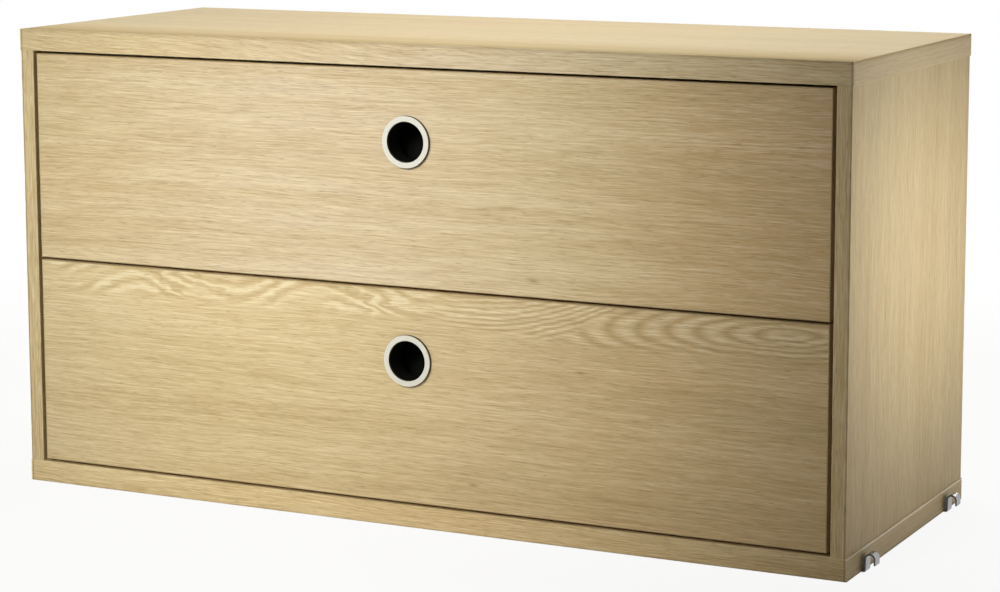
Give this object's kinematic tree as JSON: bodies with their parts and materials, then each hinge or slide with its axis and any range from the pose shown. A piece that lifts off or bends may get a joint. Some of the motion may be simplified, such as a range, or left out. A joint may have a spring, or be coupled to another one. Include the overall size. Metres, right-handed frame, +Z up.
{
  "type": "chest of drawers",
  "caption": "Low oak-veneered chest with inset drawers on ball slides, ring finger pulls, and strip hooks under its ends to hang it on wall ladders.",
  "frame": {"origin": "middle of the footprint, on the surface that the bottom board stands on", "axes": "+Z up, +X to the right seen from the front, the drawers open towards -Y"},
  "size_m": [0.8034, 0.3028, 0.41],
  "materials": {
    "oak_long_grain": "clear matt lacquer on straight-grained oak veneer, grain along the width",
    "oak_upright_grain": "clear matt lacquer on straight-grained oak veneer, grain upright",
    "birch_board": "clear lacquered birch board",
    "beech_dowel": "plain grooved beech",
    "zinc_screw": "bright zinc",
    "zinc_strip": "zinc-plated strip with dark cut edges",
    "rolled_steel": "zinc-plated rolled sheet",
    "steel_ball": "polished",
    "cage_plastic": "natural nylon",
    "black_rubber": "matt",
    "pale_ring": "satin off-white moulding",
    "black_cup": "matt black moulding"
  },
  "bodies": {
    "cabinet": {"top_panel": "oak_long_grain", "bottom_panel": "oak_long_grain", "left_side_panel": "oak_upright_grain", "right_side_panel": "oak_upright_grain", "back_panel": "oak_long_grain", "top_edge_bands": "oak_long_grain", "bottom_edge_bands": "oak_long_grain", "side_edge_bands": "oak_upright_grain", "carcass_dowels": "beech_dowel", "hook_screws": "zinc_screw", "cabinet_rail_screws": "zinc_screw", "rail_buffers": "black_rubber", "front_left_hook": "zinc_strip", "front_right_hook": "zinc_strip", "rear_left_hook": "zinc_strip", "rear_right_hook": "zinc_strip", "upper_left_cabinet_rail": "rolled_steel", "upper_right_cabinet_rail": "rolled_steel", "lower_left_cabinet_rail": "rolled_steel", "lower_right_cabinet_rail": "rolled_steel"},
    "upper_drawer": {"upper_drawer_front": "oak_long_grain", "upper_front_bands": "oak_long_grain", "upper_left_box_side": "birch_board", "upper_right_box_side": "birch_board", "upper_box_back": "birch_board", "upper_box_bottom": "birch_board", "upper_box_dowels": "beech_dowel", "upper_bottom_screws": "zinc_screw", "upper_rail_screws": "zinc_screw", "upper_left_drawer_rail": "rolled_steel", "upper_right_drawer_rail": "rolled_steel", "upper_pull_ring": "pale_ring", "upper_finger_cup": "black_cup", "upper_cup_screws": "zinc_screw"},
    "upper_cage_set": {"upper_ball_cages": "cage_plastic", "upper_slide_balls": "steel_ball"},
    "lower_drawer": {"lower_drawer_front": "oak_long_grain", "lower_front_bands": "oak_long_grain", "lower_left_box_side": "birch_board", "lower_right_box_side": "birch_board", "lower_box_back": "birch_board", "lower_box_bottom": "birch_board", "lower_box_dowels": "beech_dowel", "lower_bottom_screws": "zinc_screw", "lower_rail_screws": "zinc_screw", "lower_left_drawer_rail": "rolled_steel", "lower_right_drawer_rail": "rolled_steel", "lower_pull_ring": "pale_ring", "lower_finger_cup": "black_cup", "lower_cup_screws": "zinc_screw"},
    "lower_cage_set": {"lower_ball_cages": "cage_plastic", "lower_slide_balls": "steel_ball"}
  },
  "joints": [
    {"name": "upper_drawer_slide", "type": "slide", "parent": "cabinet", "child": "upper_drawer", "axis": [0, -1, 0], "range_m": [0, 0.175]},
    {"name": "upper_cage_slide", "type": "slide", "parent": "cabinet", "child": "upper_cage_set", "axis": [0, -1, 0], "range_m": [0, 0.0875]},
    {"name": "lower_drawer_slide", "type": "slide", "parent": "cabinet", "child": "lower_drawer", "axis": [0, -1, 0], "range_m": [0, 0.175]},
    {"name": "lower_cage_slide", "type": "slide", "parent": "cabinet", "child": "lower_cage_set", "axis": [0, -1, 0], "range_m": [0, 0.0875]}
  ],
  "couplings": [
    {"joint": "upper_cage_slide", "follows": "upper_drawer_slide", "ratio": 0.5},
    {"joint": "lower_cage_slide", "follows": "lower_drawer_slide", "ratio": 0.5}
  ]
}
